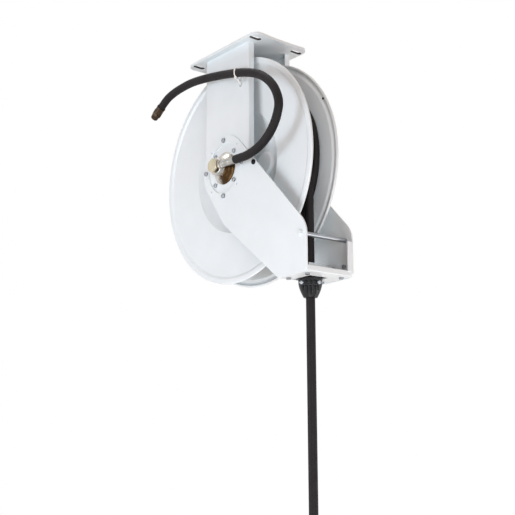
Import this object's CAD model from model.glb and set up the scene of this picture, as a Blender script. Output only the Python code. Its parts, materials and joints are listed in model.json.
"""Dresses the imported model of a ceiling-mounted, spring-rewind hose reel for rendering.

X runs along the axle from the swivel side to the spring side, the hose leaves at the front (-Y)
and Z is up. Sizes in the code are millimetres from the axle unless a name says otherwise.
"""

import json
import math
import random

import bpy
from bpy.props import FloatProperty, FloatVectorProperty, PointerProperty
from bpy.types import Operator, Panel, PropertyGroup
from mathutils import Matrix, Vector


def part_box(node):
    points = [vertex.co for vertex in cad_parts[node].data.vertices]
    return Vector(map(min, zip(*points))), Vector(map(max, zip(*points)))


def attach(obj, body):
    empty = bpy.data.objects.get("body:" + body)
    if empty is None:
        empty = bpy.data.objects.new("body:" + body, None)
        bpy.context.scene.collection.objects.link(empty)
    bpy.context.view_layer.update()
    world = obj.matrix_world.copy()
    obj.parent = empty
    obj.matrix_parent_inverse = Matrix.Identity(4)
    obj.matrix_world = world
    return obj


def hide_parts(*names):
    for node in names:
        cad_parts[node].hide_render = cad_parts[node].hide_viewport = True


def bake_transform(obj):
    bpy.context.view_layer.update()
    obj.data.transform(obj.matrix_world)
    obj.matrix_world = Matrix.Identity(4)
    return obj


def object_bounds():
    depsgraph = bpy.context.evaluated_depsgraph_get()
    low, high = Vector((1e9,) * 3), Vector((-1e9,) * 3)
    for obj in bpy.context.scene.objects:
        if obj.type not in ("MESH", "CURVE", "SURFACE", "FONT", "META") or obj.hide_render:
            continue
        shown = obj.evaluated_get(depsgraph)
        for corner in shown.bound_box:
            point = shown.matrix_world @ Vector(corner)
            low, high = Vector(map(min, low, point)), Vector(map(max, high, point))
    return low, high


bl_info = {
    "name": "Spring-Rewind Hose Reel",
    "version": (1, 0, 0),
    "blender": (4, 5, 0),
    "location": "View3D > Sidebar > Hose Reel",
    "description": "Models the pieces and finishes of a ceiling-mounted hose reel",
    "category": "Object",
}

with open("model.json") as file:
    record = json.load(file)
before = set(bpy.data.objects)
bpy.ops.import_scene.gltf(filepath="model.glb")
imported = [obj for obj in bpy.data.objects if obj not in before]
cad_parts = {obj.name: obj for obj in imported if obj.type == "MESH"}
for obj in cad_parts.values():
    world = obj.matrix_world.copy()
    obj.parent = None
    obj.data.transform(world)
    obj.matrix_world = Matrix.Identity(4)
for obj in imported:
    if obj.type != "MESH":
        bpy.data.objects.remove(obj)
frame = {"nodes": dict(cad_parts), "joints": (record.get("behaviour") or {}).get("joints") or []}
CAD_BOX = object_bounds()

MM = 0.001
FULL_TURN = 2 * math.pi
AXLE_Z = next(j["pos_m"] for j in frame["joints"] if j["name"] == "drum_spin")[2] / MM


def cad_size(node, axis):
    """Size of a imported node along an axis, in metres."""
    low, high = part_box(node)
    return high[axis] - low[axis]


def srgb(code):
    """A hex colour as linear red, green, blue and alpha."""
    values = [int(code[i : i + 2], 16) / 255 for i in (1, 3, 5)]
    return [v / 12.92 if v <= 0.04045 else ((v + 0.055) / 1.055) ** 2.4 for v in values] + [1.0]


# ---------------------------------------------------------------- what a user may change


def length_prop(name, description, default):
    return FloatProperty(
        name=name, description=description, default=default, min=0, subtype="DISTANCE", unit="LENGTH"
    )


def colour_prop(name, description, code):
    return FloatVectorProperty(
        name=name, description=description, default=srgb(code), size=4, min=0, max=1, subtype="COLOR"
    )


class ReelSizes(PropertyGroup):
    """Main sizes; the plate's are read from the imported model."""

    plate_length: length_prop("Plate length", "Ceiling plate along the axle", cad_size("ceiling_plate", 0))
    plate_width: length_prop("Plate width", "Ceiling plate from front to back", cad_size("ceiling_plate", 1))
    hose_diameter: length_prop("Hose diameter", "Outer diameter of the hose", 0.02)


class ReelColours(PropertyGroup):
    """Colours of the finishes."""

    powder_coat: colour_prop("Powder coat", "Bluish white coat of the steel sheet", "#EBF4F7")
    slot_wall: colour_prop("Slot wall", "Dark walls of the ceiling slots", "#222224")
    zinc_plate: colour_prop("Zinc plate", "Plated bolts, screws and tie rod", "#A3A5A9")
    turned_steel: colour_prop("Turned steel", "Bright turned and ground parts", "#CFD0D2")
    galvanised: colour_prop("Galvanised sheet", "Spring case and roller frame", "#C6C9CC")
    pale_brass: colour_prop("Pale brass", "Hex plug and lower end fitting", "#CDC1A8")
    nickel: colour_prop("Nickel", "Swivel body and its side nut", "#CFCAC2")
    dark_brass: colour_prop("Dark brass", "Worn side of the swivel's cone", "#46331F")
    dark_bronze: colour_prop("Dark bronze", "Inlet end fitting and plug stem", "#46382D")
    hose_rubber: colour_prop("Hose rubber", "Cover of the hose", "#140F10")
    moulded_plastic: colour_prop("Moulded plastic", "Stopper and rollers", "#0B090A")
    spring_steel: colour_prop("Spring steel", "Oiled strip and wire", "#6E6C6A")
    tie_nylon: colour_prop("Tie nylon", "Strap round the inlet hose", "#E9E8E2")


# ---------------------------------------------------------------- modelling helpers


def take(*objects):
    """Selects the objects and no others; the first one becomes active."""
    if bpy.context.object is not None and bpy.context.object.mode != "OBJECT":
        bpy.ops.object.mode_set(mode="OBJECT")
    bpy.ops.object.select_all(action="DESELECT")
    for o in objects:
        o.select_set(True)
    if objects:
        bpy.context.view_layer.objects.active = objects[0]


def edit_all(obj):
    take(obj)
    bpy.ops.object.mode_set(mode="EDIT")
    bpy.ops.mesh.select_mode(type="VERT")
    bpy.ops.mesh.select_all(action="SELECT")


def leave_edit():
    bpy.ops.object.mode_set(mode="OBJECT")


def outward(obj):
    """Merges doubles and turns every face outwards."""
    edit_all(obj)
    bpy.ops.mesh.remove_doubles(threshold=1e-6)
    bpy.ops.mesh.normals_make_consistent(inside=False)
    leave_edit()
    return obj


def from_axle(x, y, z):
    """A point given in millimetres from the axle, in metres in the frame."""
    return Vector((x * MM, y * MM, (z + AXLE_Z) * MM))


def loop_through(points):
    """A primitive circle whose corners are drawn out to the points, in metres."""
    take()
    bpy.ops.mesh.primitive_circle_add(vertices=len(points), radius=1, fill_type="NOTHING")
    obj = bpy.context.object
    for vertex, point in zip(obj.data.vertices, points):
        vertex.co = point
    return obj


def rounded(corners, steps=4):
    """A closed outline of (u, v) or (u, v, radius) corners, with the given ones rounded."""
    points = []
    for i, corner in enumerate(corners):
        here = Vector(corner[:2])
        if len(corner) < 3 or corner[2] == 0:
            points.append(here)
            continue
        back = Vector(corners[i - 1][:2]) - here
        on = Vector(corners[(i + 1) % len(corners)][:2]) - here
        cut = min(corner[2] / math.tan(back.angle(on) / 2), 0.49 * back.length, 0.49 * on.length)
        a, b = here + back.normalized() * cut, here + on.normalized() * cut
        for k in range(steps + 1):
            t = k / steps
            points.append(a.lerp(here, t).lerp(here.lerp(b, t), t))
    return points


def spun(profile, steps=96, axis="X", at=(0, 0, 0), arc_steps=4):
    """Spins a closed profile of (radius, station, corner radius) about an axis through a point."""
    centre = from_axle(*at)
    along = {"X": Vector((1, 0, 0)), "Y": Vector((0, 1, 0)), "Z": Vector((0, 0, 1))}[axis]
    out = {"X": Vector((0, 1, 0)), "Y": Vector((0, 0, 1)), "Z": Vector((1, 0, 0))}[axis]
    obj = loop_through([centre + out * p[0] * MM + along * p[1] * MM for p in rounded(profile, arc_steps)])
    edit_all(obj)
    bpy.ops.mesh.spin(steps=steps, angle=FULL_TURN, center=centre, axis=along)
    leave_edit()
    return outward(obj)


def slab(outline, start, thickness, axis="X"):
    """Fills an outline across an axis and pulls it out by a thickness."""
    first, second, third = {"X": (1, 2, 0), "Y": (0, 2, 1), "Z": (0, 1, 2)}[axis]
    points = []
    for u, v in outline:
        place = [0, 0, 0]
        place[first], place[second], place[third] = u, v, start
        points.append(from_axle(*place))
    obj = loop_through(points)
    pull = Vector((0, 0, 0))
    pull[third] = thickness * MM
    edit_all(obj)
    bpy.ops.mesh.edge_face_add()
    bpy.ops.mesh.extrude_region_move(TRANSFORM_OT_translate={"value": pull})
    leave_edit()
    return outward(obj)


def circle_points(radius, steps=48, at=(0, 0), start=0.0):
    angles = [start + FULL_TURN * k / steps for k in range(steps)]
    return [(at[0] + radius * math.cos(a), at[1] + radius * math.sin(a)) for a in angles]


def hexagon(corner_r):
    """Hexagon with corners along its second axis."""
    return circle_points(corner_r, 6, start=math.pi / 2)


def box_points(low, high):
    return [(low[0], low[1]), (high[0], low[1]), (high[0], high[1]), (low[0], high[1])]


def round_box(low, high, corner_r, steps=4):
    return rounded([(u, v, corner_r) for u, v in box_points(low, high)], steps)


def joined(*objects):
    take(*objects)
    if len(objects) > 1:
        bpy.ops.object.join()
    return objects[0]


def modified(obj, kind, **settings):
    """Adds a modifier with its settings and applies it."""
    modifier = obj.modifiers.new(kind, kind)
    for key, value in settings.items():
        setattr(modifier, key, value)
    take(obj)
    bpy.ops.object.modifier_apply(modifier=modifier.name)
    return obj


def combine(obj, other, operation="DIFFERENCE"):
    """Cuts, joins or crosses two solids; the second one is used up."""
    modified(obj, "BOOLEAN", operation=operation, object=other, solver="EXACT")
    bpy.data.objects.remove(other)
    return obj


def smooth(obj, angle=32):
    """Smooth shading between faces that meet within an angle, led by the large faces."""
    take(obj)
    bpy.ops.object.shade_smooth_by_angle(angle=math.radians(angle))
    return modified(obj, "WEIGHTED_NORMAL", keep_sharp=True, weight=100)


def soften(obj, width, segments=2, angle=32):
    """Breaks the sharp edges by a width in millimetres and shades the curved faces smooth."""
    limit = {"limit_method": "ANGLE", "angle_limit": math.radians(angle)}
    modified(obj, "BEVEL", width=width * MM, segments=segments, use_clamp_overlap=True, **limit)
    return smooth(obj, angle)


def turned(profile, steps=96, axis="X", at=(0, 0, 0), arc_steps=4):
    """A spun profile with smooth shading."""
    return smooth(spun(profile, steps, axis, at, arc_steps))


def moved(obj, matrix):
    """Moves an object's own mesh, so that the object stays at the origin."""
    obj.data.transform(matrix)
    return outward(obj) if matrix.determinant() < 0 else obj


def about_line(degrees, y=0, z=0):
    """Turns about a line along X, which is the axle unless a place is given."""
    shift = Matrix.Translation(from_axle(0, y, z))
    return shift @ Matrix.Rotation(math.radians(degrees), 4, "X") @ shift.inverted()


def placed(obj, place, degrees, axis):
    """Turns a piece that was made round the middle of the axle, and takes it to its place."""
    turn = Matrix.Rotation(math.radians(degrees), 4, axis) @ Matrix.Translation(-from_axle(0, 0, 0))
    return moved(obj, Matrix.Translation(from_axle(*place)) @ turn)


def ring_of(obj, count, first=0.0):
    """Copies of a piece at even steps about the axle; the pattern piece is used up."""
    made = []
    for k in range(count):
        one = obj.copy()
        one.data = obj.data.copy()
        bpy.context.scene.collection.objects.link(one)
        made.append(moved(one, about_line(first + 360 / count * k)))
    bpy.data.objects.remove(obj)
    return joined(*made)


def belt(circles, arc=6):
    """Outline of a belt round (u, v, radius) circles, counter-clockwise, about arc degrees a step."""
    points = []

    def leave_angle(a, b):
        d = Vector((b[0] - a[0], b[1] - a[1]))
        return math.atan2(d.y, d.x) - math.acos((a[2] - b[2]) / d.length)

    for i, c in enumerate(circles):
        start = leave_angle(circles[i - 1], c)
        end = leave_angle(c, circles[(i + 1) % len(circles)])
        while end < start:
            end += FULL_TURN
        steps = max(1, math.ceil(math.degrees(end - start) / arc))
        for k in range(steps + 1):
            a = start + (end - start) * k / steps
            points.append((c[0] + c[2] * math.cos(a), c[1] + c[2] * math.sin(a)))
    return points


def tube(path, radius, sides=24):
    """A round tube along a path in metres, with its UV map round and along it in metres."""
    vertices, run, distance = [], [], 0.0
    side_hint = Vector((1, 0, 0))
    for i, point in enumerate(path):
        step = (path[min(i + 1, len(path) - 1)] - path[max(i - 1, 0)]).normalized()
        first = (side_hint - step * side_hint.dot(step)).normalized()
        second = step.cross(first)
        if i:
            distance += (point - path[i - 1]).length
        run.append(distance)
        for k in range(sides):
            a = FULL_TURN * k / sides
            vertices.append(point + radius * (math.cos(a) * first + math.sin(a) * second))
    faces = []
    for i in range(len(path) - 1):
        for k in range(sides):
            a, b = i * sides + k, i * sides + (k + 1) % sides
            faces.append((a, b, b + sides, a + sides))
    faces.append(tuple(reversed(range(sides))))
    faces.append(tuple((len(path) - 1) * sides + k for k in range(sides)))
    mesh = bpy.data.meshes.new("tube")
    mesh.from_pydata(vertices, [], faces)
    layer = mesh.uv_layers.new(name="Along")
    round_length = FULL_TURN * radius
    for polygon in mesh.polygons:
        ring_corners = [mesh.loops[j].vertex_index % sides for j in polygon.loop_indices]
        wraps = sides - 1 in ring_corners and 0 in ring_corners
        for j, corner in zip(polygon.loop_indices, ring_corners):
            turn = sides if wraps and corner == 0 else corner
            layer.data[j].uv = (turn / sides * round_length, run[mesh.loops[j].vertex_index // sides])
    mesh.validate()
    obj = bpy.data.objects.new("tube", mesh)
    bpy.context.scene.collection.objects.link(obj)
    return smooth(obj, 50)


def through(points, steps=6):
    """A smooth path through points (Catmull-Rom)."""
    path = []
    for i in range(len(points) - 1):
        p1, p2 = points[i], points[i + 1]
        p0 = points[i - 1] if i else p1 * 2 - p2
        p3 = points[i + 2] if i + 2 < len(points) else p2 * 2 - p1
        for k in range(steps):
            t = k / steps
            curve = (2 * p0 - 5 * p1 + 4 * p2 - p3) * t * t + (3 * p1 - p0 - 3 * p2 + p3) * t**3
            path.append(0.5 * (2 * p1 + (p2 - p0) * t + curve))
    return path + [points[-1]]


def straight(start_z, end_z, steps):
    """A straight path down the middle of the outlet."""
    return [from_axle(0, HOSE_Y, start_z + (end_z - start_z) * k / steps) for k in range(steps + 1)]


def hex_head(corner, height, tip=0.0, tip_r=3.0):
    """Hex head that stands on X = 0 and points to +X: six flats, a turned chamfer and a washer face."""
    wide, low, face_r = corner * 1.06, height * 0.72, corner * 0.85
    dome = [(0, -1), (wide, -1), (wide, low), (corner * 0.84, height), (0, height)]
    head = combine(slab(hexagon(corner), 0.5, height - 0.5), spun(dome, 36), "INTERSECT")
    parts = [soften(head, 0.25, 1, 25), turned([(0, 0), (face_r, 0), (face_r, 0.6), (0, 0.6)], 36)]
    if tip:
        end = height + tip
        parts.append(turned([(0, 0), (tip_r, 0), (tip_r, end, 0.8), (0, end)], 24))
    return joined(*parts)


def hex_at(side, x, y, z, *sizes):
    """Hex head that stands at a place and looks outwards on the side given."""
    matrix = Matrix.Translation((x * MM, y * MM, z * MM))
    return moved(hex_head(*sizes), matrix @ Matrix.Scale(-1, 4, (1, 0, 0)) if side < 0 else matrix)


# ---------------------------------------------------------------- finishes


def add(tree, kind, links=None, **settings):
    """Adds a node with its settings, and links sockets of it to outputs."""
    node = tree.nodes.new(kind)
    for key, value in settings.items():
        if hasattr(node, key):
            setattr(node, key, value)
        else:
            node.inputs[key.replace("_", " ")].default_value = value
    for socket, source in (links or {}).items():
        tree.links.new(source, node.inputs[socket])
    return node


def maths(tree, operation, *values, kind="ShaderNodeMath"):
    """Outputs of a maths node; each value is an output to link or a constant."""
    node = add(tree, kind, operation=operation)
    for socket, value in zip(node.inputs, values):
        if isinstance(value, bpy.types.NodeSocket):
            tree.links.new(value, socket)
        else:
            socket.default_value = value
    return node.outputs


def noise(tree, where, scale, detail, rough=0.5):
    settings = {"Scale": scale, "Detail": detail, "Roughness": rough}
    return add(tree, "ShaderNodeTexNoise", {"Vector": where}, **settings).outputs["Fac"]


def stretched(tree, where, scale):
    return add(tree, "ShaderNodeMapping", {"Vector": where}, Scale=scale).outputs["Vector"]


def ramp(tree, source, *stops):
    """Colour ramp from two (position, colour or grey) stops."""
    node = add(tree, "ShaderNodeValToRGB", {"Fac": source})
    for point, (position, value) in zip(node.color_ramp.elements, stops):
        point.position = position
        point.color = value if hasattr(value, "__len__") else (value, value, value, 1)
    return node.outputs["Color"]


def bump(tree, height, strength, distance=0.0002):
    """Bump whose distance is in metres."""
    settings = {"Strength": strength, "Distance": distance}
    return add(tree, "ShaderNodeBump", {"Height": height}, **settings).outputs["Normal"]


def new_material(name):
    """An empty material, its tree and the object's own coordinates."""
    material = bpy.data.materials.new(name)
    material.use_nodes = True
    tree = material.node_tree
    tree.nodes.clear()
    return material, tree, add(tree, "ShaderNodeTexCoord").outputs["Object"]


def principled(material, tint, gloss=None, normal=None, **settings):
    """Ends a material with a principled surface that has the outputs given."""
    tree = material.node_tree
    given = {"Base Color": tint, "Roughness": gloss, "Normal": normal}
    links = {socket: source for socket, source in given.items() if source is not None}
    shader = add(tree, "ShaderNodeBsdfPrincipled", links, **settings)
    add(tree, "ShaderNodeOutputMaterial", {"Surface": shader.outputs["BSDF"]})
    return material


def shaded(colour, factor):
    return [c * factor for c in list(colour)[:3]] + [1.0]


def colours():
    return bpy.context.scene.reel_colours


def powder_coated_steel():
    """Polyester powder on sheet steel: satin, with a fine orange peel and a little dust grey."""
    material, tree, where = new_material("powder_coated_steel")
    coat, clouds = colours().powder_coat, noise(tree, where, 9.0, 3.0, 0.6)
    tint = ramp(tree, clouds, (0.3, shaded(coat, 0.955)), (0.7, coat))
    gloss = ramp(tree, clouds, (0.25, 0.34), (0.75, 0.43))
    # orange peel is about 1.5 mm; drawn at 3 mm so that it shows
    peel = bump(tree, noise(tree, where, 330.0, 2.0), 0.06, 0.0004)
    return principled(material, tint, gloss, peel, IOR=1.5)


def metal(name, colour, rough, grain_scale, grain_stretch=(1, 1, 1), bump_strength=0.08, spread=0.12):
    """Bare or plated metal with a grain that runs across the stretched axis."""
    material, tree, where = new_material(name)
    grain = noise(tree, stretched(tree, where, grain_stretch), grain_scale, 4.0)
    tint = ramp(tree, noise(tree, where, 60.0, 2.0), (0.3, shaded(colour, 0.82)), (0.7, colour))
    gloss = ramp(tree, grain, (0.25, rough - spread / 2), (0.75, rough + spread / 2))
    return principled(material, tint, gloss, bump(tree, grain, bump_strength), Metallic=1.0)


def zinc_plated_steel():
    """Zinc plate on rolled bolts: dull silver with a soft cloudy grain."""
    return metal("zinc_plated_steel", colours().zinc_plate, 0.38, 900.0)


def turned_steel():
    """Ground bar: bright, with fine rings round it."""
    return metal("turned_steel", colours().turned_steel, 0.24, 400.0, (8, 1, 1))


def pale_brass():
    """Bead-blasted brass: pale olive tan with a satin face."""
    return metal("pale_brass", colours().pale_brass, 0.46, 500.0, (6, 1, 1))


def bronze():
    """Dark bronze of a plumbing tail."""
    return metal("dark_bronze", colours().dark_bronze, 0.36, 300.0, (1, 10, 1), 0.2, 0.16)


def nickel_plate():
    """Nickel on turned brass: pale, with fine rings."""
    return metal("nickel_plate", colours().nickel, 0.34, 500.0, (6, 1, 1))


def crimped_steel():
    """Bright zinc on a pressed sleeve, with rings of the crimping dies."""
    return metal("crimped_steel", srgb("#B4B0AB"), 0.34, 350.0, (1, 9, 1), 0.15, 0.16)


def blackened_steel():
    """Black oxide on a bolt: near black, semi-matt."""
    return metal("blackened_steel", srgb("#2A2A2C"), 0.45, 700.0)


def spring_steel():
    """Oiled blue-grey strip."""
    return metal("spring_steel", colours().spring_steel, 0.32, 500.0, (1, 12, 1))


def galvanised_sheet():
    """Hot-dip zinc on sheet: grey spangle about 8 mm across."""
    material, tree, where = new_material("galvanised_sheet")
    spangle = add(tree, "ShaderNodeTexVoronoi", {"Vector": where}, Scale=125.0).outputs["Color"]
    base = colours().galvanised
    tint = ramp(tree, spangle, (0.1, shaded(base, 0.78)), (0.9, base))
    gloss = ramp(tree, spangle, (0.1, 0.34), (0.9, 0.5))
    return principled(material, tint, gloss, Metallic=1.0)


def nickelled_brass():
    """Nickel on turned brass, worn through to brown brass on the side where the seal has wept."""
    material, tree, where = new_material("nickelled_brass")
    grain = noise(tree, stretched(tree, where, (10, 1, 1)), 300.0, 4.0)
    # how far a spot lies towards the wept side: 0.16 is 10 mm to the front
    vector = {"kind": "ShaderNodeVectorMath"}
    axle = maths(tree, "SUBTRACT", where, (0, 0, AXLE_Z * MM), **vector)["Vector"]
    side = maths(tree, "DOT_PRODUCT", axle, (0, -16, -10), **vector)["Value"]
    ragged = maths(tree, "ADD", grain, side)["Value"]
    tint = ramp(tree, ragged, (0.62, colours().nickel), (0.76, colours().dark_brass))
    gloss = ramp(tree, grain, (0.25, 0.22), (0.75, 0.4))
    return principled(material, tint, gloss, bump(tree, grain, 0.15), Metallic=1.0)


def hose_rubber():
    """Vulcanised rubber cover: matt black with the marks of the cloth that it was wrapped in."""
    material, tree, where = new_material("hose_rubber")
    uv = add(tree, "ShaderNodeUVMap", uv_map="Along").outputs["UV"]
    # cloth marks of about 1 mm, drawn at 2 mm so that they show
    threads = []
    for way in "XY":
        wave = {"Scale": 160.0, "Distortion": 0.6, "bands_direction": way}
        threads.append(add(tree, "ShaderNodeTexWave", {"Vector": uv}, **wave).outputs["Fac"])
    weave = bump(tree, maths(tree, "MULTIPLY", *threads)["Value"], 0.35, 0.0003)
    base, dust = colours().hose_rubber, noise(tree, where, 45.0, 4.0, 0.65)
    tint = ramp(tree, dust, (0.3, base), (0.75, shaded(base, 1.45)))
    gloss = ramp(tree, dust, (0.3, 0.5), (0.7, 0.68))
    return principled(material, tint, gloss, weave, IOR=1.52, Specular_IOR_Level=0.2)


def moulded_plastic():
    """Black glass-filled nylon with a fine eroded grain."""
    material, tree, where = new_material("moulded_plastic")
    base, cloud = colours().moulded_plastic, noise(tree, where, 80.0, 2.0)
    tint = ramp(tree, cloud, (0.3, base), (0.7, shaded(base, 1.3)))
    gloss = ramp(tree, cloud, (0.3, 0.34), (0.7, 0.44))
    grain = bump(tree, noise(tree, where, 1400.0, 1.0), 0.25)
    return principled(material, tint, gloss, grain, IOR=1.53, Specular_IOR_Level=0.3)


def tie_nylon():
    """Natural nylon: milky white with a soft sheen."""
    material, tree, where = new_material("tie_nylon")
    base = colours().tie_nylon
    tint = ramp(tree, noise(tree, where, 200.0, 2.0), (0.3, shaded(base, 0.9)), (0.7, base))
    return principled(material, tint, Roughness=0.4, IOR=1.53)


def slot_wall():
    """Laser-cut wall of a slot, where the coat is thin over dark scale."""
    material, tree, where = new_material("slot_wall")
    base = colours().slot_wall
    tint = ramp(tree, noise(tree, where, 500.0, 2.0), (0.3, base), (0.7, shaded(base, 1.8)))
    return principled(material, tint, Roughness=0.6)


# the slot of each finish, and the word that it adds to a piece's name
WORDS = {
    powder_coated_steel: ("white_paint", "coated"),
    zinc_plated_steel: ("zinc_bolts", "plated"),
    turned_steel: ("bright_steel", "turned"),
    crimped_steel: ("bright_steel", "crimped"),
    blackened_steel: ("black_steel", "black"),
    galvanised_sheet: ("zinc_sheet", "galvanised"),
    nickelled_brass: ("brass", "turned"),
    pale_brass: ("brass", "brass"),
    bronze: ("brass", "brass"),
    hose_rubber: ("hose_rubber", "rubber"),
    moulded_plastic: ("black_plastic", "moulded"),
    tie_nylon: ("tie_plastic", "strap"),
}
FINISHES = {}


def finish(maker):
    """The material that a maker function builds, built once."""
    if maker not in FINISHES:
        FINISHES[maker] = maker()
    return FINISHES[maker]


def set_finish(obj, maker):
    obj.data.materials.clear()
    obj.data.materials.append(finish(maker))


def dress(obj, body, maker, node, name=None):
    """Gives a piece its finish, body and node, and a name made from them unless one is given."""
    slot, word = WORDS[maker]
    obj.name = name or f"{node}_{word}"
    set_finish(obj, maker)
    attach(obj, body)
    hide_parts(node)
    return obj


def refinish(obj, maker, chosen):
    """Gives a second finish to the faces that a test of (X, Y, face) picks."""
    obj.data.materials.append(finish(maker))
    for face in obj.data.polygons:
        if chosen(face.center.x / MM, face.center.y / MM, face):
            face.material_index = 1


# ---------------------------------------------------------------- sizes shared by the pieces

# stations along X
COLUMN_IN, COLUMN_OUT, GUIDE_OUT, HUB_IN = 62.0, 66.0, 69.5, 59.0
FOLD_L = 16.5
GUIDE_T = 3.5
# columns and arms, as Y and Z
COLUMN_FRONT, COLUMN_BACK, COLUMN_T = -89.0, 79.0, 4.0
PLATE_T = 6.0
COLUMN_TOP = -AXLE_Z - PLATE_T
FOLD_END = -12.0
HUB_R = 80.0
HUB_HOLE_R = 41.0
ARM_BORE_R = 60.0
OUTER_BOLT_R, INNER_BOLT_R = 68.5, 50.0
ARM_REACH, ARM_DEPTH = 284.0, 286.0
TIE_ROD_Y, TIE_ROD_Z = -266.0, -202.0
# outlet
HOSE_Y = -220.0
TRAY_Z = -ARM_DEPTH - 1.5
TRAY_TILT = -3.0
TRAY_T = 3.0
TRAY_BACK = -190.0
ROLLER_BOX_HALF = 31.0
ROLLER_BOX_FRONT, ROLLER_BOX_BACK = HOSE_Y - ROLLER_BOX_HALF, TRAY_BACK - TRAY_T
FOOT_BOLTS = [(x, y) for x in (-50, 50) for y in (-205, -265)]
# hose
HOSE_D = 20.0
WRAP_R = 220.0
STOPPER_TOP = TRAY_Z + 3.0
STOPPER_SHOULDER = TRAY_Z + 1.0
STOPPER_END = STOPPER_SHOULDER - 42.6
STOPPER_BOLT_X, STOPPER_BOLT_Z = 19.5, STOPPER_SHOULDER - 11.6
STOPPER_R, STOPPER_END_R = 26.2, 15.0
STOPPER_TURN = -42.0
TAIL_END = STOPPER_END - 480.0
# drum
RIM_R = 275.0
RIM_X = 41.5
SEAT_X = 33.0
CORE_R = 152.0
SHEET_T = 2.0
# swivel and inlet
INLET_X = -92.0
INLET_START = -21.4
INLET_ROUTE = [
    (-72, 0), (-92, 0), (-113, 0), (-146, 6), (-176, 19), (-201, 39), (-218, 65),
    (-225, 94), (-215, 125), (-193, 154), (-158, 180), (-113, 199), (-66, 212),
    (-16, 223), (44, 234), (104, 241), (160, 240), (200, 234), (222.7, 225), (240, 215),
]
INLET_END_TILT = -30.0


def on_tray():
    """Tilt of the tray about the hose opening."""
    return about_line(TRAY_TILT, HOSE_Y, TRAY_Z)


# ---------------------------------------------------------------- frame pieces


class REEL_OT_ceiling_plate(Operator):
    """Waisted steel plate with four slots that bolts to the ceiling"""

    bl_idname = "reel.ceiling_plate"
    bl_label = "Ceiling Plate"

    def execute(self, context):
        sizes = context.scene.reel_sizes
        half_x, half_y = sizes.plate_length / MM / 2, sizes.plate_width / MM / 2
        top, corner_r, waist = -AXLE_Z, 20.0, 3.0
        slot_x, slot_y, slot_l, slot_w = 64.0, 112.0, 32.0, 12.5
        outline = []
        for quarter, (sx, sy) in enumerate(((1, -1), (1, 1), (-1, 1), (-1, -1))):
            cx, cy = sx * (half_x - corner_r), sy * (half_y - corner_r)
            for k in range(13):
                a = math.radians(90 * (quarter - 1) + 7.5 * k)
                outline.append((cx + corner_r * math.cos(a), cy + corner_r * math.sin(a)))
            if sy == sx:
                span = half_x - corner_r - 2
                for k in range(1, 12):
                    x = sx * span * (1 - 2 * k / 12)
                    outline.append((x, sy * (half_y - waist * (1 - (x / span) ** 2))))
        plate = slab(outline, top - PLATE_T, PLATE_T, "Z")
        r, reach = slot_w / 2, (slot_l - slot_w) / 2
        cutters = []
        for x in (-slot_x, slot_x):
            for y in (-slot_y, slot_y):
                cutters.append(slab(belt([(x + reach, y, r), (x - reach, y, r)], 12), top - 8, 10, "Z"))
        combine(plate, joined(*cutters))
        dress(soften(plate, 0.8, 3), "frame", powder_coated_steel, "ceiling_plate")

        def in_slot(x, y, face):
            upright = abs(face.normal.z) < 0.5
            return upright and abs(abs(x) - slot_x) < 17 and abs(abs(y) - slot_y) < 7

        refinish(plate, slot_wall, in_slot)
        return {"FINISHED"}


def column(side):
    """Folded channel with a round lower end about the axle."""
    outer, inner = side * COLUMN_OUT, side * COLUMN_IN
    lip = side * (COLUMN_OUT - FOLD_L)
    front, back, t = COLUMN_FRONT, COLUMN_BACK, COLUMN_T
    section = [
        (outer, front, 4.5), (lip, front, 0.8), (lip, front + t, 0.8), (inner, front + t, 1.2),
        (inner, back - t, 1.2), (lip, back - t, 0.8), (lip, back, 0.8), (outer, back, 4.5),
    ]
    body = slab(rounded(section), -HUB_R, COLUMN_TOP + HUB_R, "Z")
    radius, reach, steps = HUB_R - 1, 110, 48
    start = math.asin(-FOLD_END / radius)
    angles = [start + (math.pi - 2 * start) * k / steps for k in range(steps + 1)]
    below = [(-reach, FOLD_END)] + [(-radius * math.cos(a), -radius * math.sin(a)) for a in angles]
    below += [(reach, FOLD_END), (reach, -reach), (-reach, -reach)]
    combine(body, slab(below, side * 40 - 32, 64))
    cutters = [slab(circle_points(HUB_HOLE_R, 72), side * 64 - 6, 12)]
    if side < 0:
        for z in (192.0, 205.2):
            cutters.append(slab(box_points((-63.1, z - 4.3), (-54.7, z + 4.3)), -72, 12))
    combine(body, joined(*cutters))
    return soften(body, 0.6)


def weld_bead(side):
    """Row of small weld scales between a column and the plate."""
    outer, z, pitch, sides = side * (COLUMN_OUT - 0.5), COLUMN_TOP + 0.4, 1.4, 10
    random.seed(7 if side < 0 else 8)
    path = []
    y = COLUMN_FRONT + 4
    while y < COLUMN_BACK - 4:
        path.append(from_axle(outer + random.uniform(-0.25, 0.25), y, z + random.uniform(-0.2, 0.2)))
        y += pitch
    bead = tube(path, 2.2 * MM, sides)
    for vertex in bead.data.vertices:
        ring_index = vertex.index // sides
        centre = path[ring_index]
        vertex.co = centre + (vertex.co - centre) * (1.0 + 0.16 * math.sin(ring_index * 2.1))
    return bead


class REEL_OT_columns(Operator):
    """Two folded columns, welded to the plate"""

    bl_idname = "reel.columns"
    bl_label = "Columns"

    def execute(self, context):
        for side, node in ((-1, "swivel_column"), (1, "spring_column")):
            piece = joined(column(side), weld_bead(side))
            dress(piece, "frame", powder_coated_steel, node)
        return {"FINISHED"}


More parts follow.
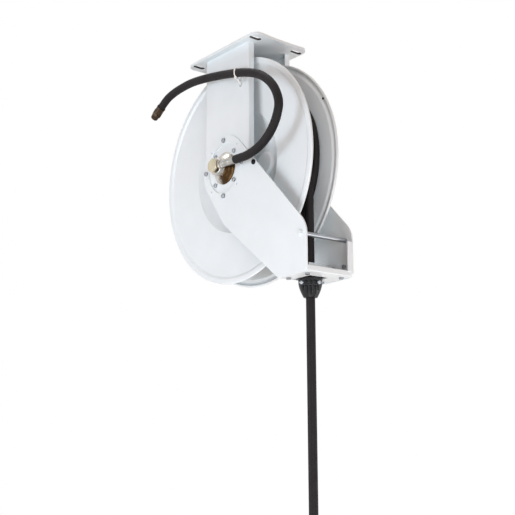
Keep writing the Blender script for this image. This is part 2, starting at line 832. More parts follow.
def arm_outline():
    """Arm from its round hub down to the outlet; its upper edge starts at a corner near the column."""
    corner_r, toe_r, slope = 60.0, 12, math.radians(46.3)
    edge_y, edge_z = -122.0, -13.0
    corner_z = edge_z - (ARM_REACH + edge_y) * math.tan(slope)
    top_l = corner_r / math.tan((math.radians(90) + slope) / 2)
    front = (-ARM_REACH + corner_r, corner_z - top_l, corner_r)
    toe = (-ARM_REACH + toe_r, -ARM_DEPTH + toe_r, toe_r)
    return belt([(0, 0, HUB_R), front, toe, (-196, -ARM_DEPTH + 4, 8), (-34, -110, 43)], 4)


class REEL_OT_guide_arms(Operator):
    """Two flat arms that carry the outlet; the one on the spring side has a folded front edge"""

    bl_idname = "reel.guide_arms"
    bl_label = "Guide Arms"

    def execute(self, context):
        for side, node in ((-1, "swivel_guide_arm"), (1, "spring_guide_arm")):
            start = COLUMN_OUT if side > 0 else -GUIDE_OUT
            arm = slab(arm_outline(), start, GUIDE_T)
            if side > 0:
                fold = box_points((-ARM_REACH, -274), (-ARM_REACH + GUIDE_T, -207))
                combine(arm, slab(fold, GUIDE_OUT - FOLD_L, FOLD_L), "UNION")
            circles = [circle_points(ARM_BORE_R, 96)]
            for at in circle_points(OUTER_BOLT_R, 4, start=math.radians(45)):
                circles.append(circle_points(2, 20, at))
            combine(arm, joined(*[slab(circle, start - 2, GUIDE_T + 4) for circle in circles]))
            dress(soften(arm, 0.7), "frame", powder_coated_steel, node)
        return {"FINISHED"}


class REEL_OT_frame_bolts(Operator):
    """Hex bolts and nuts of the columns, hubs and tie rod, and the black stop bolt"""

    bl_idname = "reel.frame_bolts"
    bl_label = "Frame Bolts"

    def execute(self, context):
        for side, node in ((-1, "swivel_arm_bolts"), (1, "spring_arm_bolts")):
            head = hex_at(side, side * GUIDE_OUT, OUTER_BOLT_R, 0, 5.98, 4.5)
            nut = hex_at(-side, side * COLUMN_IN, OUTER_BOLT_R, 0, 6, 5, 3, 3.25)
            dress(ring_of(joined(head, nut), 4), "frame", zinc_plated_steel, node)
        for side, node in ((-1, "housing_bolts"), (1, "arbor_bolts")):
            head = hex_at(side, side * COLUMN_OUT, INNER_BOLT_R, 0, 5.52, 4)
            start, end = side * HUB_IN, side * (HUB_IN - 3)
            shank = turned([(0, start), (3, start), (3, end, 0.5), (0, end)], 24, at=(0, INNER_BOLT_R, 0))
            dress(ring_of(joined(head, shank), 4, 45), "frame", zinc_plated_steel, node)
        ends = [hex_at(side, side * GUIDE_OUT, TIE_ROD_Y, TIE_ROD_Z, 6.5, 4.5) for side in (-1, 1)]
        dress(joined(*ends), "frame", powder_coated_steel, "tie_rod_bolts", "tie_rod_ends")
        y, z, head_r, face = -111.5, -10.5, 6.2, -GUIDE_OUT
        profile = [
            (0, face - 4), (3.6, face - 4, 0.6), (head_r, face - 2.6, 1.2), (head_r, face),
            (3.2, face), (3.2, -COLUMN_OUT + 6, 0.6), (0, -COLUMN_OUT + 6),
        ]
        stop = joined(turned(profile, 40, at=(0, y, z)), hex_at(1, -COLUMN_OUT, y, z, 5.6, 5))
        dress(stop, "frame", blackened_steel, "arm_stop_bolt", "stop_bolt_black")
        return {"FINISHED"}


class REEL_OT_hubs(Operator):
    """Round hub plates: the bearing housing on the swivel side and the arbor flange opposite"""

    bl_idname = "reel.hubs"
    bl_label = "Hubs"

    def execute(self, context):
        def seat(side):
            """The part that both hub plates share: the spigot in the column's hole, and the plate's rim."""
            plate_r = 57.0
            return [
                (HUB_HOLE_R - 0.5, side * COLUMN_OUT, 0.4), (HUB_HOLE_R, side * (COLUMN_OUT - 0.5)),
                (HUB_HOLE_R, side * COLUMN_IN), (plate_r, side * COLUMN_IN), (plate_r, side * HUB_IN, 0.8),
            ]

        housing = [
            (16, -COLUMN_OUT), *seat(-1), (HUB_HOLE_R, -HUB_IN, 1.2), (HUB_HOLE_R, -47, 1.5),
            (31, -47, 0.6), (31, -64), (16, -64),
        ]
        dress(turned(housing, 120), "frame", powder_coated_steel, "bearing_housing")
        flange = [(15, COLUMN_OUT), *seat(1), (15, HUB_IN)]
        dress(turned(flange, 120), "frame", powder_coated_steel, "arbor_flange")
        head = COLUMN_OUT + 4
        arbor = [
            (0, 15), (15, 15, 1), (15, COLUMN_OUT), (20, COLUMN_OUT, 0.3), (20, head, 1.0),
            (6, head, 0.4), (4.5, head - 1.8), (0, head - 1.8),
        ]
        dress(turned(arbor, 72), "frame", turned_steel, "spring_arbor", "arbor_head_turned")
        return {"FINISHED"}


# ---------------------------------------------------------------- swivel and inlet


class REEL_OT_swivel(Operator):
    """Nickelled swivel with its cone, hex plug, side nut and crimped hose tail"""

    bl_idname = "reel.swivel"
    bl_label = "Swivel"

    def execute(self, context):
        foot, start, end = -COLUMN_OUT, -16.5, INLET_START
        port = {"axis": "Y", "at": (INLET_X, 0, 0)}
        body = [
            (12.2, foot), (39, foot, 0.3), (39, foot - 2.3, 0.8), (36.4, foot - 3.4, 0.6),
            (35, foot - 5.6, 0.8), (30.2, -75.4, 0.8), (29.6, -76.4, 0.4), (24.6, -80.9, 1.2),
            (21, -82.2, 0.6), (21, -94.6, 0.9), (19.6, -95.6, 0.4), (12.2, -95.6),
        ]
        body = turned(body, arc_steps=3)
        boss = turned([(5.5, start), (10, start), (10, end, 0.3), (5.5, end)], 48, **port)
        nut = slab([(x + INLET_X, z) for x, z in hexagon(12)], end, 5.5, "Y")
        cone = [(0, end - 1), (10.6, end - 1), (10.6, end), (12.6, end + 2), (12.6, 2), (0, 2)]
        combine(nut, spun(cone, 36, **port), "INTERSECT")
        body = joined(body, boss, soften(nut, 0.3, 2, 25))
        dress(body, "frame", nickelled_brass, "swivel_body")
        cone_end = -82.3
        refinish(body, nickel_plate, lambda x, y, face: x < cone_end)
        plug = slab(hexagon(17.4), -106, 5.5)
        dome = [
            (0, -107), (14.4, -107), (14.4, -106), (17.6, -104.6), (17.6, -101.4), (16.6, -100.4),
            (0, -100.4),
        ]
        combine(plug, spun(dome, 48), "INTERSECT")
        stem = turned([(0, -101), (11.9, -101), (11.9, -95), (0, -95)], 48)
        plug = joined(soften(plug, 0.35, 2, 25), stem)
        dress(plug, "frame", pale_brass, "swivel_cap", "swivel_plug_hex")
        stem_start = -100.2
        refinish(plug, bronze, lambda x, y, face: x > stem_start)
        ferrule = [
            (5.5, end), (9.2, end, 0.4), (9.4, end - 5, 0.4), (8.7, -27.4, 0.3), (8.7, -34, 0.3),
            (8.2, -35, 0.3), (8.2, -43, 0.3), (8.7, -44, 0.3), (8.7, -52, 0.3), (8.2, -53, 0.3),
            (8.2, -61, 0.3), (8.7, -62, 0.3), (8.7, -66.4, 0.3), (9.4, -67.6, 0.5), (9.4, -72, 0.5),
            (5.5, -72),
        ]
        ferrule = turned(ferrule, 64, arc_steps=3, **port)
        dress(ferrule, "frame", crimped_steel, "inlet_ferrule")
        return {"FINISHED"}


class REEL_OT_inlet_hose(Operator):
    """Looped inlet hose with its bronze end, tied to the column"""

    bl_idname = "reel.inlet_hose"
    bl_label = "Inlet Hose"

    def execute(self, context):
        radius = context.scene.reel_sizes.hose_diameter / 2
        path = through([from_axle(INLET_X, y, z) for y, z in INLET_ROUTE])
        hose = dress(tube(path, radius), "frame", hose_rubber, "inlet_hose")
        sleeve = [
            (6, -1), (11.4, -1, 0.6), (11.4, 3, 0.5), (10.9, 4, 0.4), (10.9, 12, 0.4), (11.4, 13, 0.4),
            (11.4, 18, 0.5), (10.2, 18.4), (10.2, 27), (9.2, 27.6),
        ]
        # ridges of the thread, each a little lower than the last
        thread = [
            (10, 28.6, 0.3), (9.3, 29.8, 0.3), (9.9, 31, 0.3), (9.2, 32.2, 0.3), (9.8, 33.4, 0.3),
            (9.1, 34.6, 0.3), (9.7, 35.8, 0.3), (9, 37, 0.3), (9.4, 38.4, 0.3), (8.4, 40, 0.3), (6, 40),
        ]
        fitting = turned(sleeve + thread, 64, "Y", arc_steps=2)
        nut = slab(circle_points(12.7, 6), 18.2, 8.8, "Y")
        fitting = joined(fitting, soften(nut, 0.6, 2, 25))
        placed(fitting, (INLET_X, *INLET_ROUTE[-1]), INLET_END_TILT, "X")
        dress(fitting, "frame", bronze, "inlet_end_fitting", "inlet_end_brass")
        return {"FINISHED"}


class REEL_OT_hose_tie(Operator):
    """Nylon strap drawn through the column and round the inlet hose"""

    bl_idname = "reel.hose_tie"
    bl_label = "Hose Tie"

    def execute(self, context):
        turn, strap_t = 30, 1.3
        tie_y, tie_z, hole_z = -75.0, 209.6, 196.75
        reach = (-COLUMN_IN - INLET_X + 1.5) / math.cos(math.radians(turn))

        def loop(inset):
            return belt([(reach, hole_z, 6.4 - inset), (0, tie_z, 12.2 - inset)], 10)

        strap = slab(loop(0), -2, 4, "Y")
        combine(strap, slab(loop(strap_t), -4, 8, "Y"))
        head = slab(box_points((-6, tie_z - 14.6), (1, tie_z - 10.4)), -3, 6, "Y")
        strap = joined(soften(strap, 0.3), soften(head, 0.6))
        placed(strap, (INLET_X, tie_y, 0), turn, "Z")
        dress(strap, "frame", tie_nylon, "hose_tie")
        return {"FINISHED"}


# ---------------------------------------------------------------- outlet


class REEL_OT_outlet_tray(Operator):
    """Folded tray with two lips and side tabs, on its slight tilt"""

    bl_idname = "reel.outlet_tray"
    bl_label = "Outlet Tray"

    def execute(self, context):
        front, back, z, t, hole = -ARM_REACH + 1, TRAY_BACK, TRAY_Z, TRAY_T, 28.0
        lip_z = z + 12.5
        section = [
            (front, z, 2.6), (back, z, 2.6), (back, lip_z, 0.6), (back - t, lip_z, 0.6),
            (back - t, z + t, 0.8), (front + t, z + t, 0.8), (front + t, lip_z, 0.6), (front, lip_z, 0.6),
        ]
        tray = slab(rounded(section), -COLUMN_OUT, 2 * COLUMN_OUT)
        opening = round_box((-hole, HOSE_Y - hole), (hole, ROLLER_BOX_BACK), 2)
        combine(tray, slab(opening, z - 2, t + 4, "Z"))
        tab = rounded([(-279, z + t), (-213, z + t), (-213, z + 34, 6), (-279, z + 34, 6)])
        tabs = [soften(slab(tab, x, t), 0.5) for x in (-COLUMN_OUT, COLUMN_OUT - t)]
        tray = moved(joined(soften(tray, 0.5), *tabs), on_tray())
        dress(tray, "frame", powder_coated_steel, "outlet_tray")
        return {"FINISHED"}


class REEL_OT_outlet_bolts(Operator):
    """Screws of the tray's tabs and bolts of the roller frame"""

    bl_idname = "reel.outlet_bolts"
    bl_label = "Outlet Bolts"

    def execute(self, context):
        tab_in, screw_z = COLUMN_OUT - TRAY_T, TRAY_Z + 25
        heads = [
            hex_at(-side, side * tab_in, y, screw_z, 5.2, 3.8) for side in (-1, 1) for y in (-232, -264)
        ]
        screws = moved(joined(*heads), on_tray())
        dress(screws, "frame", zinc_plated_steel, "tray_screws")
        parts = []
        for x, y in FOOT_BOLTS:
            parts.append(placed(hex_head(5.6, 4), (x, y, TRAY_Z), 90, "Y"))
            parts.append(placed(hex_head(5.6, 5, 2.5), (x, y, TRAY_Z + 5), -90, "Y"))
        bolts = moved(joined(*parts), on_tray())
        dress(bolts, "frame", zinc_plated_steel, "roller_frame_bolts")
        return {"FINISHED"}


class REEL_OT_rollers(Operator):
    """Four waisted rollers on pins in a square frame of galvanised strip"""

    bl_idname = "reel.rollers"
    bl_label = "Rollers"

    def execute(self, context):
        t, height, foot_z, half = 3.0, 25.0, TRAY_Z + TRAY_T, ROLLER_BOX_HALF

        def walls(inset, corner_r):
            low, high = (inset - half, ROLLER_BOX_FRONT + inset), (half - inset, ROLLER_BOX_BACK - inset)
            return round_box(low, high, corner_r)

        box = slab(walls(0, 3), foot_z, height, "Z")
        combine(box, slab(walls(t, 1), foot_z - 2, height + 4, "Z"))
        feet = []
        for x, y in FOOT_BOLTS:
            ends = sorted([(x, y, 8), (x - math.copysign(23, x), y, 8)], reverse=True)
            feet.append(soften(slab(belt(ends, 12), foot_z, 2, "Z"), 0.3, 1))
        box = moved(joined(soften(box, 0.4), *feet), on_tray())
        dress(box, "frame", galvanised_sheet, "roller_frame")
        off, low_z, high_z = 16.0, TRAY_Z + 9.5, TRAY_Z + 20.5
        middle = (ROLLER_BOX_FRONT + ROLLER_BOX_BACK) / 2
        long_reach = half - t - 0.6
        short_reach = (ROLLER_BOX_BACK - ROLLER_BOX_FRONT) / 2 - t - 0.6
        places = {
            "front_roller": ("X", (0, HOSE_Y - off, low_z), long_reach),
            "rear_roller": ("X", (0, HOSE_Y + off, low_z), long_reach),
            "left_roller": ("Y", (-off, middle, high_z), short_reach),
            "right_roller": ("Y", (off, middle, high_z), short_reach),
        }
        for node, (axis, at, reach) in places.items():
            profile = [
                (2.55, -reach), (4.4, -reach, 0.3), (5, -reach + 1.2, 0.5), (5, -14, 6), (4.3, -5, 4),
                (4.3, 5, 4), (5, 14, 6), (5, reach - 1.2, 0.5), (4.4, reach, 0.3), (2.55, reach),
            ]
            roller = moved(turned(profile, 40, axis, at), on_tray())
            dress(roller, node, moulded_plastic, node)
        return {"FINISHED"}


class REEL_OT_tie_rod(Operator):
    """Plated bar between the two arms"""

    bl_idname = "reel.tie_rod"
    bl_label = "Tie Rod"

    def execute(self, context):
        end = COLUMN_OUT
        profile = [
            (0, -end), (4.6, -end, 0.3), (5, -end + 1.4, 0.4), (5, end - 1.4, 0.4), (4.6, end, 0.3), (0, end)
        ]
        rod = turned(profile, 48, at=(0, TIE_ROD_Y, TIE_ROD_Z))
        dress(rod, "frame", zinc_plated_steel, "tie_rod", "tie_rod_turned")
        return {"FINISHED"}


# ---------------------------------------------------------------- drum


def dish_section(side, floor_x, hole_r):
    """Sheet section of a pressed flange as closed (radius, X) corners."""
    floor_r, slope_l, n = 114.0, 36.5, 18
    bead_r, lip_x = 3.2, SEAT_X + 4.8
    bead_at = RIM_R - bead_r
    slope = [
        (floor_r + slope_l * k / n, floor_x + (SEAT_X - floor_x) * (k / n) ** 2.5) for k in range(n + 1)
    ]
    outer = [(hole_r, floor_x), *slope, (CORE_R + 6, SEAT_X), (RIM_R - 18, lip_x, 5)]
    outer += [(RIM_R - 12, RIM_X - 0.4, 4), (bead_at, RIM_X)]
    for k in range(1, 13):
        a = math.radians(90 - 22.5 * k)
        outer.append((bead_at + bead_r * math.cos(a), RIM_X - bead_r + bead_r * math.sin(a)))
    inner = [(bead_at - 0.6, RIM_X), (RIM_R - 11.6, RIM_X - 0.4, 4), (RIM_R - 17.4, lip_x, 5)]
    inner += [(CORE_R + 6, SEAT_X)] + [(r - 1, x) for r, x in reversed(slope)] + [(hole_r, floor_x)]
    outline = outer + [(r, x - SHEET_T, *rest) for r, x, *rest in inner]
    return [(r, side * x, *rest) for r, x, *rest in outline]


class REEL_OT_drum_flanges(Operator):
    """Two pressed steel discs with a deep dish, bosses and a rolled rim"""

    bl_idname = "reel.drum_flanges"
    bl_label = "Drum Flanges"

    def execute(self, context):
        near = turned(dish_section(-1, 18.0, 15.0), 240)
        boss = [(0, -25.2), (25, -25.2, 4.5), (31.5, -17.2, 3), (31.5, -16.6), (24, -22.6, 3), (0, -23.2)]
        places = circle_points(94, 3, start=math.pi)
        near = joined(near, *[turned(boss, 72, at=(0, *place)) for place in places])
        dress(near, "drum", powder_coated_steel, "swivel_side_flange", "swivel_side_disc")
        far = turned(dish_section(1, 12.0, 34.0), 240)
        dress(far, "drum", powder_coated_steel, "spring_side_flange", "spring_side_disc")
        cap = [(0, 36.7), (1.6, 36.7, 0.4), (2.6, 37.6, 0.6), (2.6, 39.2), (0, 39.2)]
        screws = [moved(turned(cap, 24, at=(0, 265.8, 0)), about_line(degrees)) for degrees in (30, 150)]
        dress(joined(*screws), "drum", blackened_steel, "rim_screws")
        return {"FINISHED"}


class REEL_OT_spring_case(Operator):
    """Round spring case with its cover, screws, ratchet wheel and pawl"""

    bl_idname = "reel.spring_case"
    bl_label = "Spring Case"

    def execute(self, context):
        case = turned([(18, 12), (119, 12, 3), (119, 37), (115, 37), (115, 14, 1), (18, 14)], 144)
        dress(case, "drum", galvanised_sheet, "spring_case", "spring_case_pressed")
        cover = [
            (27.5, 37), (119, 37), (119, 40, 0.8), (112, 40, 0.6), (110.5, 38.8, 0.6), (80, 38.8, 0.6),
            (78.5, 40, 0.6), (27.5, 40),
        ]
        dress(turned(cover, 144), "drum", galvanised_sheet, "spring_case_cover", "spring_case_lid")
        screw = [(0, 40), (2.4, 40), (2.4, 41, 0.6), (1.2, 41.8, 0.5), (0, 41.4)]
        screws = ring_of(turned(screw, 24, at=(0, 116.5, 0)), 6)
        dress(screws, "drum", zinc_plated_steel, "cover_screws")
        teeth, radius, depth, face = 8, 72.0, 9.0, 40
        wheel = slab(circle_points(radius, 144), face, 4)
        bore = slab(circle_points(33.5, 72), face - 2, 8)
        notch = slab(box_points((radius - depth, -30), (radius + 3, 0)), face - 2, 8)
        for vertex in notch.data.vertices:
            # the lower inner corner moves out, which slopes the back of the tooth
            if vertex.co.y < (radius - 2) * MM and vertex.co.z < AXLE_Z * MM - 0.01:
                vertex.co.y = (radius - 6) * MM
        combine(wheel, joined(bore, ring_of(notch, teeth, 79.5)))
        dress(soften(wheel, 0.5), "drum", turned_steel, "ratchet_wheel", "ratchet_wheel_cut")
        pawl = slab(belt([(18, 92, 4.5), (60, 84, 9)], 10), face + 0.5, 3)
        combine(pawl, slab(circle_points(4.05, 32, (60, 84)), face - 2, 8))
        dress(soften(pawl, 0.5), "pawl", turned_steel, "ratchet_pawl", "ratchet_pawl_cut")
        return {"FINISHED"}


class REEL_OT_inner_finishes(Operator):
    """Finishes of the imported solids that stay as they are, mostly inside the drum"""

    bl_idname = "reel.inner_finishes"
    bl_label = "Inner Parts"

    def execute(self, context):
        kept = {
            powder_coated_steel: ("drum_core",),
            turned_steel: (
                "spindle_bearing", "spindle", "outlet_pipe", "arbor_bearing", "pawl_pin", "roller_pins",
            ),
            zinc_plated_steel: ("spindle_bolts",),
            spring_steel: ("power_spring", "pawl_spring"),
            moulded_plastic: ("swivel_seals",),
        }
        for maker, nodes in kept.items():
            for node in nodes:
                set_finish(frame["nodes"][node], maker)
        return {"FINISHED"}


# ---------------------------------------------------------------- hose on the drum

LAYER_STEP, PITCH, WIND_X, CLIMB_DEG = 20.7, 21.4, 22.6, 90.0
UNDER_DEG = 2 * WIND_X / PITCH * 360
WIND_DEG = UNDER_DEG + CLIMB_DEG + WIND_X / PITCH * 360
UNDER_R = WRAP_R - LAYER_STEP


def wind_point(w):
    """Middle line of the wound hose after w degrees: under layer, climb, outer layer."""
    if w < UNDER_DEG:
        radius, x = UNDER_R, -WIND_X + PITCH * w / 360
    elif w < UNDER_DEG + CLIMB_DEG:
        radius, x = UNDER_R + LAYER_STEP * ((w - UNDER_DEG) / CLIMB_DEG), WIND_X
    else:
        radius, x = WRAP_R, WIND_X - PITCH * (w - UNDER_DEG - CLIMB_DEG) / 360
    a = math.radians(180 - WIND_DEG + w)
    return from_axle(x, radius * math.cos(a), radius * math.sin(a))


class REEL_OT_wound_hose(Operator):
    """Hose on the drum: ribbed inner layers, the wound layers and the straight run to the outlet"""

    bl_idname = "reel.wound_hose"
    bl_label = "Wound Hose"

    def execute(self, context):
        radius = context.scene.reel_sizes.hose_diameter / 2
        step = 4.0
        points = [wind_point(WIND_DEG - step * k) for k in range(int(WIND_DEG // step), -1, -1)]
        first = points[0] + (points[0] - points[1]).normalized() * 2 * radius
        path = [first] + points + [from_axle(0, HOSE_Y, -5), from_axle(0, HOSE_Y, -HOSE_D)]
        dress(tube(path, radius, 20), "drum", hose_rubber, "hose_winding", "wound_hose_rubber")
        # inner layers: three turns side by side show as ribs
        side_x, rib_r, rib_x = 31.0, 10.0, 20.6
        rib_base = UNDER_R - HOSE_D * 0.9 - rib_r
        profile = [(CORE_R, -side_x), (rib_base, -side_x)]
        for middle in (-rib_x, 0.0, rib_x):
            for k in range(9):
                a = math.radians(180 - 22.5 * k)
                profile.append((rib_base + rib_r * math.sin(a), middle + rib_r * math.cos(a)))
        profile += [(rib_base, side_x), (CORE_R, side_x)]
        layers = smooth(spun(profile, 180), 50)
        layers.data.uv_layers.new(name="Along")
        dress(layers, "drum", hose_rubber, "hose_core", "inner_hose_layers")
        line = straight(-HOSE_D, STOPPER_TOP, 24)
        run = tube(line, radius)
        run.name = "hose_run_rubber"
        set_finish(run, hose_rubber)
        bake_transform(run)
        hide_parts("hose_run")
        return {"FINISHED"}


# ---------------------------------------------------------------- stopper and tail


def stopper_radius(t):
    return STOPPER_R - (STOPPER_R - STOPPER_END_R) * max(0.0, (t - 0.22) / 0.78) ** 1.6


def stopper_hollows():
    """Pockets, and flutes between the ribs, as (middle, half width, depth left, foot, height)."""
    hollows = [(x, 3.7, 11.6, STOPPER_BOLT_Z - 3.2, 8.4) for x in (-10.2, 0, 10.2)]
    hollows += [(x, 3.3, 10.8, STOPPER_END + 5, 19.6) for x in (-8.8, 8.8)]
    hollows += [(0, 2.2, 11.4, STOPPER_END + 5, 19.6)]
    return hollows + [(x, 2.2, 10.4, STOPPER_END + 14, 10.6) for x in (-15.8, 15.8)]


class REEL_OT_stopper(Operator):
    """Two ribbed halves clamped round the hose by two bolts"""

    bl_idname = "reel.stopper"
    bl_label = "Stopper"

    def execute(self, context):
        depth, gap, n = 20.0, 0.4, 18
        place = ((0, HOSE_Y, 0), STOPPER_TURN, "Z")
        height = STOPPER_END - STOPPER_SHOULDER + 1
        profile = [(10, STOPPER_TOP), (15, STOPPER_TOP, 0.6), (STOPPER_R - 1, STOPPER_SHOULDER, 1.0)]
        profile += [(stopper_radius(k / n), STOPPER_SHOULDER - 1 + height * k / n) for k in range(n + 1)]
        profile += [(10, STOPPER_END)]
        for side, node in ((-1, "stopper_front"), (1, "stopper_rear")):
            half = spun(profile, axis="Z")
            y0 = gap if side > 0 else -depth
            keep = slab(box_points((-40, y0), (40, y0 + depth - gap)), STOPPER_END - 2, 80, "Z")
            combine(half, keep, "INTERSECT")
            cutters = []
            for x, half_w, left, foot, tall in stopper_hollows():
                face = left if side > 0 else -depth - 1
                box = round_box((x - half_w, face), (x + half_w, face + depth + 1 - left), 0.6, 2)
                cutters.append(slab(box, foot, tall, "Z"))
            for x in (-STOPPER_BOLT_X, STOPPER_BOLT_X):
                cutters.append(slab(circle_points(2.6, 24, (x, STOPPER_BOLT_Z)), -30, 60, "Y"))
            combine(half, joined(*cutters))
            placed(soften(half, 0.5, 2, 38), *place)
            dress(half, "hose_end", moulded_plastic, node)
        flat = math.sqrt(STOPPER_R**2 - STOPPER_BOLT_X**2) + 1.2
        cap = [(0, 0), (2.6, 0), (4.3, 0, 0.3), (4.3, 2.0, 1.2), (2, 3.0, 0.6), (1.8, 2.0), (0, 2.0)]
        shank = [(0, -flat), (2.5, -flat), (2.5, flat), (0, flat)]
        parts = []
        for x in (-STOPPER_BOLT_X, STOPPER_BOLT_X):
            at = (x, 0, STOPPER_BOLT_Z)
            for side in (-1, 1):
                parts.append(turned([(r, (z + flat) * side, *rest) for r, z, *rest in cap], 32, "Y", at))
            parts.append(turned(shank, 24, "Y", at))
        bolts = placed(joined(*parts), *place)
        dress(bolts, "hose_end", zinc_plated_steel, "stopper_bolts")
        return {"FINISHED"}


class REEL_OT_hose_tail(Operator):
    """Hanging hose below the stopper, with its crimped ferrule and brass fitting"""

    bl_idname = "reel.hose_tail"
    bl_label = "Hose Tail"

    def execute(self, context):
        radius = context.scene.reel_sizes.hose_diameter / 2
        line = straight(STOPPER_TOP, TAIL_END, 60)
        tail = dress(tube(line, radius), "hose_end", hose_rubber, "hose_tail")
        hanging = {"axis": "Z", "at": (0, HOSE_Y, 0)}
        ferrule = [
            (6, 0), (11.6, 0, 0.5), (11.6, 4, 0.4), (11, 5, 0.3), (11, 11, 0.3), (11.6, 12, 0.3),
            (11.6, 17, 0.3), (11, 18, 0.3), (11, 24, 0.3), (11.6, 25, 0.4), (11.6, 34, 0.5), (6, 34),
        ]
        ferrule = [(r, TAIL_END - down, *rest) for r, down, *rest in ferrule]
        ferrule = turned(ferrule, 64, arc_steps=3, **hanging)
        dress(ferrule, "hose_end", turned_steel, "hose_end_ferrule", "hose_end_ferrule_crimped")
        top, ridge = TAIL_END - 34, 2.2
        thread = [(6, top - 10), (10.2, top - 10)]
        for k in range(7):
            thread += [(10.4, top - 12 - ridge * k, 0.2), (9.5, top - 13.1 - ridge * k, 0.2)]
        thread += [(9.4, top - 27.4, 0.3), (8.8, top - 28, 0.2), (6, top - 28)]
        nut = slab(circle_points(14, 6, (0, HOSE_Y)), top - 11, 11, "Z")
        fitting = joined(turned(thread, 64, arc_steps=2, **hanging), soften(nut, 0.7, 2, 25))
        dress(fitting, "hose_end", pale_brass, "hose_end_fitting", "hose_end_brass")
        return {"FINISHED"}


# ---------------------------------------------------------------- stage


def seen_or_lit(tree, rays, direct, seen, lit, output):
    """Ends a tree: straight on, in metal or through glass a ray meets one shader, else the other."""
    mirrored = maths(tree, "MAXIMUM", rays["Is Glossy Ray"], direct)["Value"]
    shown = maths(tree, "MAXIMUM", rays["Is Transmission Ray"], mirrored)["Value"]
    mix = add(tree, "ShaderNodeMixShader", {0: shown, 1: lit.outputs[0], 2: seen.outputs[0]})
    add(tree, output, {"Surface": mix.outputs["Shader"]})


def white_stage():
    """Pale paper sweep that shows white and keeps the shadow."""
    material, tree, where = new_material("stage_paper")
    grain = noise(tree, where, 40.0, 2.0)
    tint = ramp(tree, grain, (0.3, srgb("#F6F6F6")), (0.7, srgb("#FBFBFB")))
    paper = add(tree, "ShaderNodeBsdfDiffuse", {"Color": tint})
    glow = add(tree, "ShaderNodeEmission", Color=(1, 1, 1, 1), Strength=1.0)
    rays = add(tree, "ShaderNodeLightPath").outputs
    # the paper glows white away from the object and keeps the shadow near it
    away = maths(tree, "LENGTH", where, kind="ShaderNodeVectorMath")["Value"]
    share = ramp(tree, maths(tree, "MULTIPLY", away, 0.1)["Value"], (0.1, 0.7), (0.4, 1.0))
    direct = maths(tree, "MULTIPLY", rays["Is Camera Ray"], share)["Value"]
    seen_or_lit(tree, rays, direct, glow, paper, "ShaderNodeOutputMaterial")
    return material


def studio_world():
    """White where it is seen, and a warm dim fill where it only lights."""
    world = bpy.data.worlds.new("studio")
    bpy.context.scene.world = world
    world.use_nodes = True
    tree = world.node_tree
    tree.nodes.clear()
    rays = add(tree, "ShaderNodeLightPath").outputs
    fill = add(tree, "ShaderNodeBackground", Color=srgb("#F4C2A4"), Strength=0.34)
    white = add(tree, "ShaderNodeBackground", Color=(1, 1, 1, 1), Strength=1.0)
    seen_or_lit(tree, rays, rays["Is Camera Ray"], white, fill, "ShaderNodeOutputWorld")


def soft_box(name, place, size, power, colour):
    """Area lamp that looks at the middle of the drum; place and size are in metres."""
    lamp = bpy.data.lights.new(name, "AREA")
    lamp.shape, lamp.size, lamp.energy = "SQUARE", size, power
    lamp.color = srgb(colour)[:3]
    obj = bpy.data.objects.new(name, lamp)
    bpy.context.scene.collection.objects.link(obj)
    obj.location = place
    target = from_axle(0, -60, -20)
    obj.rotation_euler = (target - Vector(place)).to_track_quat("-Z", "Y").to_euler()


def add_camera(scene):
    """Camera of the main view, placed in metres and turned by yaw, pitch and roll in radians."""
    data = bpy.data.cameras.new("camera")
    camera = bpy.data.objects.new("camera", data)
    scene.collection.objects.link(camera)
    scene.camera = camera
    place = Vector((-1.2862, -1.5842, -0.8889))
    frame_px, focal_px = 515.0, 870.1
    yaw, pitch, roll = 0.6947, 0.1854, -0.0030
    data.sensor_width = 36.0
    data.lens = data.sensor_width * focal_px / frame_px
    ahead = Vector((math.sin(yaw) * math.cos(pitch), math.cos(yaw) * math.cos(pitch), math.sin(pitch)))
    right = Vector((math.cos(yaw), -math.sin(yaw), 0))
    up = right.cross(ahead)
    right, up = right * math.cos(roll) + up * math.sin(roll), up * math.cos(roll) - right * math.sin(roll)
    matrix = Matrix((right, up, -ahead)).transposed().to_4x4()
    matrix.translation = place
    camera.matrix_world = matrix


# name, place, size of the square, watts and colour
LAMPS = (
    ("key", (-2.7, 0.6, -0.8), 1.5, 41, "#E8F4FF"),
    ("front_fill", (-1.3, -2.8, -1.1), 1.5, 39, "#EEF6FF"),
    ("right_fill", (1.9, -1.9, -1.5), 1.2, 18, "#FFFFFF"),
    ("under_fill", (-0.7, -0.7, -2.3), 1.4, 18, "#FFFFFF"),
    ("top_light", (-0.6, 0.6, 2.6), 1.8, 24, "#FFFFFF"),
)


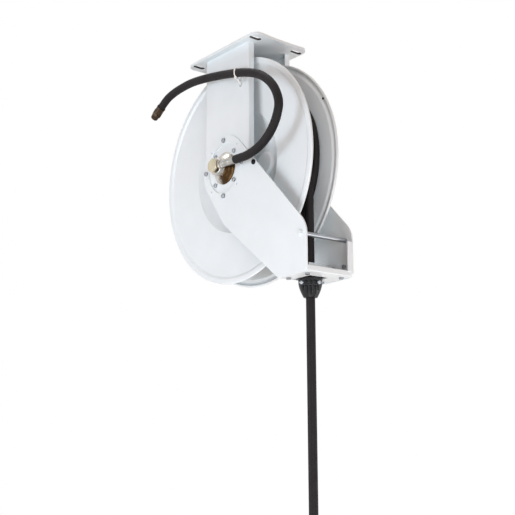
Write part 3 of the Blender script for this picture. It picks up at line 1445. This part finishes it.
class REEL_OT_stage(Operator):
    """Camera, pale floor, backdrop and soft lamps"""

    bl_idname = "reel.stage"
    bl_label = "Stage"

    def execute(self, context):
        context.scene.view_settings.view_transform = "Standard"
        add_camera(context.scene)
        studio_world()
        take()
        floor_side, floor_drop = 30, 1.25
        bpy.ops.mesh.primitive_plane_add(size=floor_side, location=(0, 0, CAD_BOX[0].z - floor_drop))
        floor = bpy.context.object
        floor.name = "floor"
        floor.data.materials.append(white_stage())
        for lamp in LAMPS:
            soft_box(*lamp)
        return {"FINISHED"}


# ---------------------------------------------------------------- panel and registration

PIECES = (
    REEL_OT_stage,
    REEL_OT_ceiling_plate,
    REEL_OT_columns,
    REEL_OT_guide_arms,
    REEL_OT_frame_bolts,
    REEL_OT_hubs,
    REEL_OT_swivel,
    REEL_OT_inlet_hose,
    REEL_OT_hose_tie,
    REEL_OT_outlet_tray,
    REEL_OT_outlet_bolts,
    REEL_OT_rollers,
    REEL_OT_tie_rod,
    REEL_OT_drum_flanges,
    REEL_OT_spring_case,
    REEL_OT_inner_finishes,
    REEL_OT_wound_hose,
    REEL_OT_stopper,
    REEL_OT_hose_tail,
)


class REEL_PT_panel(Panel):
    """Lists the reel's pieces, sizes and colours"""

    bl_idname = "REEL_PT_panel"
    bl_label = "Hose Reel"
    bl_space_type = "VIEW_3D"
    bl_region_type = "UI"
    bl_category = "Hose Reel"

    def draw(self, context):
        layout = self.layout
        for group in (context.scene.reel_sizes, context.scene.reel_colours):
            box = layout.box()
            for name in type(group).__annotations__:
                box.prop(group, name)
        for piece in PIECES:
            layout.operator(piece.bl_idname, text=piece.bl_label)


CLASSES = (ReelSizes, ReelColours, *PIECES, REEL_PT_panel)


def register():
    for cls in CLASSES:
        bpy.utils.register_class(cls)
    bpy.types.Scene.reel_sizes = PointerProperty(type=ReelSizes)
    bpy.types.Scene.reel_colours = PointerProperty(type=ReelColours)


def unregister():
    del bpy.types.Scene.reel_colours
    del bpy.types.Scene.reel_sizes
    for cls in reversed(CLASSES):
        bpy.utils.unregister_class(cls)


def main():
    register()
    for piece in PIECES:
        group, name = piece.bl_idname.split(".")
        getattr(getattr(bpy.ops, group), name)()


if __name__ == "__main__":
    main()
